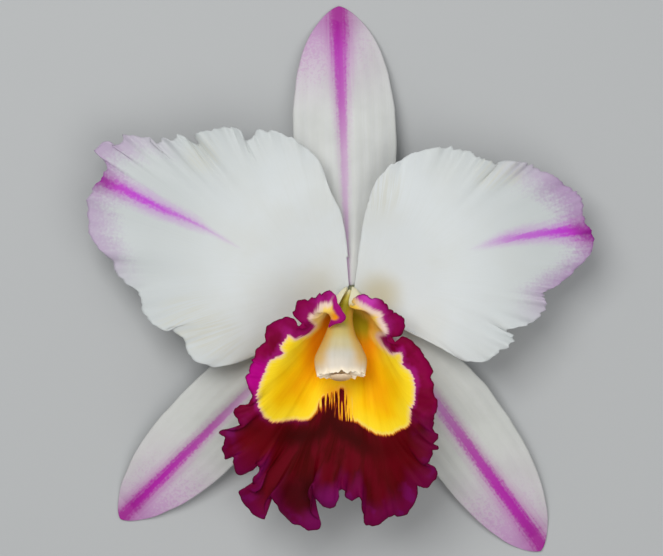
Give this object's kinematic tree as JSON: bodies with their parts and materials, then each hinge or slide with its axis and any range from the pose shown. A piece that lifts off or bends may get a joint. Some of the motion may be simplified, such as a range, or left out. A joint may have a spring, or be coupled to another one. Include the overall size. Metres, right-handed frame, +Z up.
{
  "type": "cattleya orchid bloom",
  "caption": "Picked cattleya orchid bloom lying face up: white sepals and ruffled petals with magenta stripes, a frilled crimson and yellow lip, a column and a cut pedicel.",
  "frame": {"origin": "under the middle of the bloom's bounding box, on the surface that it lies on", "axes": "+Z up out of the face of the bloom; +Y from its heart to the dorsal sepal; +X to the right as the face is looked at"},
  "size_m": [0.1392, 0.153, 0.0349],
  "materials": {
    "sepal": "soft matte white sepal with a magenta stripe along the midrib",
    "petal": "soft matte white petal with a magenta flare at the tip",
    "lip": "velvety crimson lip with yellow patches and a magenta frill",
    "column": "waxy cream",
    "anther_cap": "waxy pinkish white",
    "pedicel": "smooth pale green, ribbed"
  },
  "bodies": {
    "root": {"dorsal_sepal": "sepal", "lateral_sepal_left": "sepal", "lateral_sepal_right": "sepal", "petal_left": "petal", "petal_right": "petal", "lip": "lip", "column": "column", "anther_cap": "anther_cap", "pedicel": "pedicel"}
  },
  "joints": []
}
